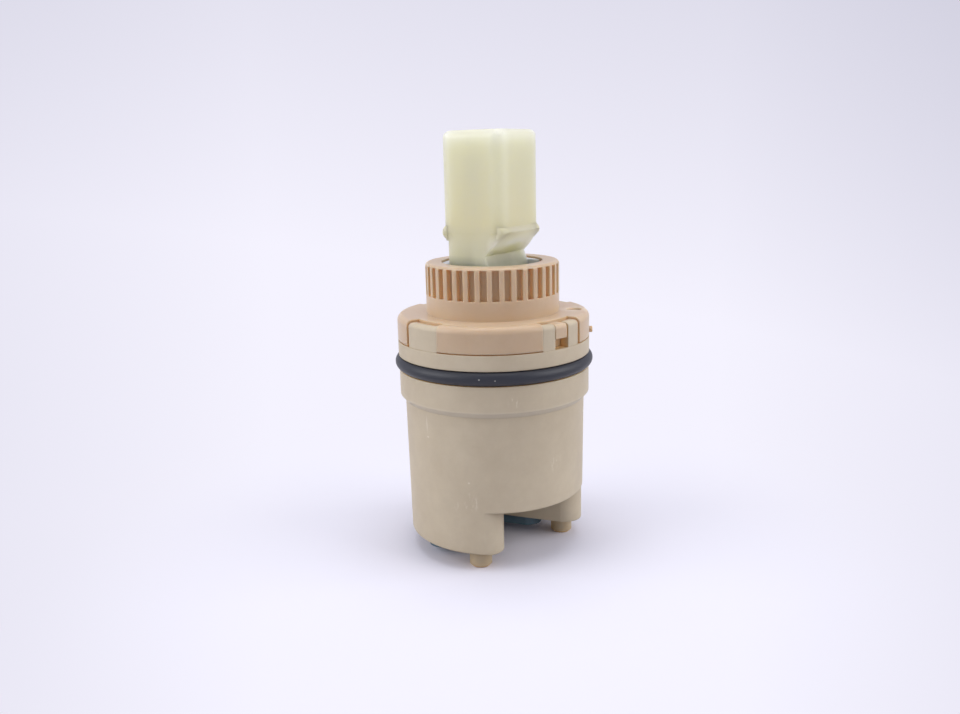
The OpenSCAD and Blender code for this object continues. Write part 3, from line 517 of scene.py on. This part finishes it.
def add_bead_ends():
    """Ends of the lever's beads, which fade out round the corners of the stem, past the solids."""
    mesh = bmesh.new()
    for right in (-1, 1):
        for back in (-1, 1):
            make_bead_end(mesh, right, back)
    bmesh.ops.recalc_face_normals(mesh, faces=mesh.faces)
    bmesh.ops.rotate(mesh, verts=mesh.verts, matrix=LEVER_AXES)
    data = bpy.data.meshes.new("lever_bead_ends")
    mesh.to_mesh(data)
    mesh.free()
    for face in data.polygons:
        face.use_smooth = True
    data.set_sharp_from_angle(angle=SHARP_ANGLE)
    # The lever's nylon, but light can't go deep into pieces that are so thin
    data.materials.append(natural_nylon("natural_moulded_nylon_thin", depth_mm=0.3, edge_light_part=0.2))
    ends = bpy.data.objects.new("lever_bead_ends", data)
    bpy.context.scene.collection.objects.link(ends)
    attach(ends, "lever")


def add_camera():
    """Camera at the photograph's place, from the fitted view."""
    forward = Vector((math.sin(VIEW_YAW) * math.cos(VIEW_PITCH),
                      math.cos(VIEW_YAW) * math.cos(VIEW_PITCH),
                      -math.sin(VIEW_PITCH)))
    right = Vector((math.cos(VIEW_YAW), -math.sin(VIEW_YAW), 0))
    up = right.cross(forward)
    rolled_right = math.cos(VIEW_ROLL) * right + math.sin(VIEW_ROLL) * up
    rolled_up = math.cos(VIEW_ROLL) * up - math.sin(VIEW_ROLL) * right
    axes = Matrix((VIEW_AXES @ rolled_right, VIEW_AXES @ rolled_up, -(VIEW_AXES @ forward))).transposed()
    data = bpy.data.cameras.new("camera")
    data.sensor_fit = "HORIZONTAL"
    data.sensor_width = SENSOR_WIDTH
    data.lens = SENSOR_WIDTH * FOCAL_PIXELS / IMAGE_WIDTH
    data.clip_start = CLIP_START
    camera = bpy.data.objects.new("camera", data)
    camera.matrix_world = Matrix.Translation(EYE) @ axes.to_4x4()
    bpy.context.scene.collection.objects.link(camera)
    bpy.context.scene.camera = camera


def add_softbox(name, place, size, watts):
    """Square soft light that faces the object. Its place is in the photograph's axes, in metres."""
    data = bpy.data.lights.new(name, "AREA")
    data.size = size
    data.energy = watts
    lamp = bpy.data.objects.new(name, data)
    at = VIEW_AXES @ Vector(place)
    target = Vector((0, 0, MIDDLE_Z))
    lamp.matrix_world = Matrix.Translation(at) @ (at - target).to_track_quat("Z", "Y").to_matrix().to_4x4()
    lamp.visible_camera = False
    bpy.context.scene.collection.objects.link(lamp)


def seen_directly(tree):
    """1 for rays that show the background: from the camera, in a reflection or through glass."""
    path = put(tree, "ShaderNodeLightPath")
    gloss = put(tree, "ShaderNodeMath",
                {0: path.outputs["Is Camera Ray"], 1: path.outputs["Is Glossy Ray"]}, operation="MAXIMUM")
    seen = put(tree, "ShaderNodeMath", {0: gloss.outputs["Value"], 1: path.outputs["Is Transmission Ray"]},
               operation="MAXIMUM")
    return seen.outputs["Value"]


def backdrop_colour(tree, direction):
    """Pale lilac paper that dims upwards and to the sides, by the direction from the photograph's eye."""
    # It dims a little sooner at the upper right
    rise = put(tree, "ShaderNodeVectorMath", {0: direction, 1: Vector((0, 0, 1)) + 0.2 * RIGHT},
               operation="DOT_PRODUCT")
    above = put(tree, "ShaderNodeMapRange",
                {"Value": rise.outputs["Value"], "From Min": -0.14, "From Max": 0.49})
    across = put(tree, "ShaderNodeVectorMath", {0: direction, 1: RIGHT}, operation="DOT_PRODUCT")
    aside = put(tree, "ShaderNodeMath", {0: across.outputs["Value"]}, operation="ABSOLUTE")
    beside = put(tree, "ShaderNodeMapRange",
                 {"Value": aside.outputs["Value"], "From Min": 0.25, "From Max": 1.1})
    dim = put(tree, "ShaderNodeMath", {0: above.outputs["Result"], 1: beside.outputs["Result"]},
              operation="ADD", use_clamp=True)
    paper = put(tree, "ShaderNodeMix",
                {BLEND: dim.outputs["Value"], UNDER: linear("F5F3FF"), OVER: linear("CBCADA")},
                data_type="RGBA")
    return paper.outputs[MIXED]


def paper_floor(name):
    """Pale matt paper that takes the soft shadows, and turns into the backdrop away from the object."""
    material, tree = new_material(name)
    at = put(tree, "ShaderNodeTexCoord").outputs["Object"]
    away = put(tree, "ShaderNodeVectorMath", {0: at}, operation="LENGTH")
    fade = put(tree, "ShaderNodeMapRange",
               {"Value": away.outputs["Value"], "From Min": FADE_FROM, "From Max": FADE_TO},
               interpolation_type="SMOOTHSTEP")
    # The paper gives the object a little less light than it shows
    seen = seen_directly(tree)
    shade = put(tree, "ShaderNodeMix", {BLEND: seen, UNDER: linear("B4B4BA"), OVER: linear("E9E8F4")},
                data_type="RGBA")
    paper = put(tree, "ShaderNodeBsdfDiffuse", {"Color": shade.outputs[MIXED]})
    sight = put(tree, "ShaderNodeVectorMath", {0: at, 1: EYE - Vector((0, 0, FLOOR_Z))},
                operation="SUBTRACT")
    direction = put(tree, "ShaderNodeVectorMath", {0: sight.outputs["Vector"]}, operation="NORMALIZE")
    glow = put(tree, "ShaderNodeEmission",
               {"Color": backdrop_colour(tree, direction.outputs["Vector"]), "Strength": seen})
    shown = put(tree, "ShaderNodeMath", {0: fade.outputs["Result"], 1: seen}, operation="MULTIPLY")
    both = put(tree, "ShaderNodeMixShader",
               {0: shown.outputs["Value"], 1: paper.outputs["BSDF"], 2: glow.outputs["Emission"]})
    put(tree, "ShaderNodeOutputMaterial", {"Surface": both.outputs["Shader"]})
    return material


def add_floor():
    """Round floor under the object, which is no piece of it."""
    bpy.ops.mesh.primitive_circle_add(vertices=FLOOR_SIDES, radius=FLOOR_RADIUS, fill_type="NGON",
                                      location=(0, 0, FLOOR_Z))
    floor = bpy.context.object
    floor.name = "floor"
    floor.data.materials.append(paper_floor("pale_paper_floor"))


def add_world():
    """Even pale studio light, and the backdrop that the camera sees."""
    world = bpy.data.worlds.new("studio")
    bpy.context.scene.world = world
    world.use_nodes = True
    tree = world.node_tree
    tree.nodes.clear()
    around = put(tree, "ShaderNodeBackground", {"Color": linear("F4F4FF"), "Strength": 0.5})
    direction = put(tree, "ShaderNodeTexCoord").outputs["Generated"]
    backdrop = put(tree, "ShaderNodeBackground",
                   {"Color": backdrop_colour(tree, direction), "Strength": 1.0})
    shown = put(tree, "ShaderNodeMixShader",
                {0: seen_directly(tree), 1: around.outputs["Background"],
                 2: backdrop.outputs["Background"]})
    put(tree, "ShaderNodeOutputWorld", {"Surface": shown.outputs["Shader"]})


dress_plastics()
dress_seals_discs_and_pin()
add_bead_ends()
add_camera()
add_softbox("left_softbox", place=(-0.39, -0.11, 0.22), size=0.34, watts=1.08)
add_softbox("right_softbox", place=(0.39, -0.09, 0.22), size=0.34, watts=1.02)
add_softbox("top_softbox", place=(0.0, 0.02, 0.50), size=0.35, watts=0.85)
add_floor()
add_world()
bpy.context.scene.view_settings.view_transform = "Standard"
